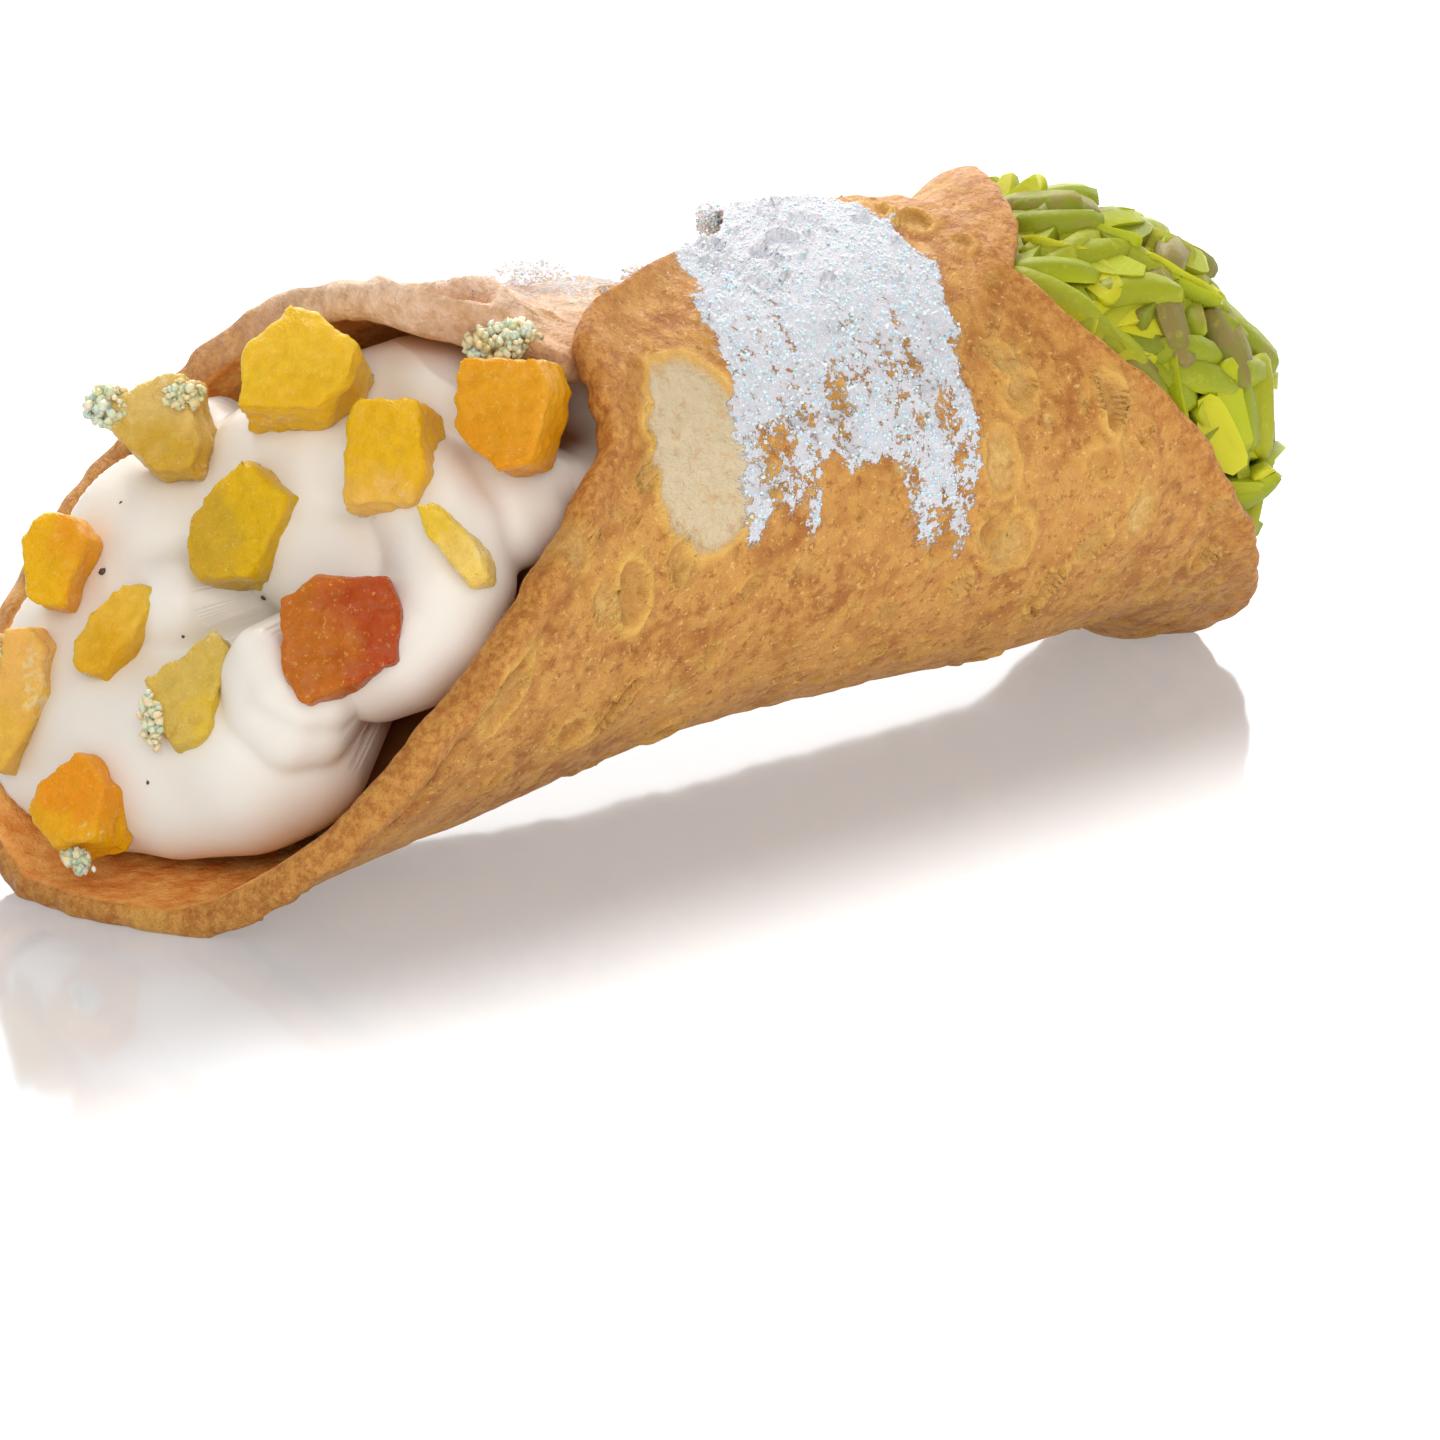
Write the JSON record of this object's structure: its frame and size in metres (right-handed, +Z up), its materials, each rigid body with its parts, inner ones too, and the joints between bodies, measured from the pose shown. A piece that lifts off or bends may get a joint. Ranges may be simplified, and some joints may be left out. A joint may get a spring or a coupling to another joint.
{
  "type": "cannoli",
  "caption": "Filled cannolo lying on its side: a wrapped tube of fried dough with ricotta cream, candied fruit at one mouth and pistachio slivers at the other.",
  "frame": {"origin": "centre of the bounding box at the level it rests on", "axes": "+Z up, +X along the tube towards the pistachio end, -Y towards the side where the near flap laps over the top"},
  "size_m": [0.1368, 0.0465, 0.0503],
  "materials": {
    "fried_dough": "dry fried dough, golden brown",
    "ricotta_cream": "smooth moist cream, warm white",
    "pistachio": "cut pistachio kernels, yellow green",
    "candied_fruit": "translucent candied peel, sticky"
  },
  "bodies": {
    "root": {"shell": "fried_dough", "cream": "ricotta_cream", "pistachio_coat": "pistachio", "candied_fruit_01": "candied_fruit", "candied_fruit_02": "candied_fruit", "candied_fruit_03": "candied_fruit", "candied_fruit_04": "candied_fruit", "candied_fruit_05": "candied_fruit", "candied_fruit_06": "candied_fruit", "candied_fruit_07": "candied_fruit", "candied_fruit_08": "candied_fruit", "candied_fruit_09": "candied_fruit", "candied_fruit_10": "candied_fruit", "candied_fruit_11": "candied_fruit", "candied_fruit_12": "candied_fruit"}
  },
  "joints": []
}
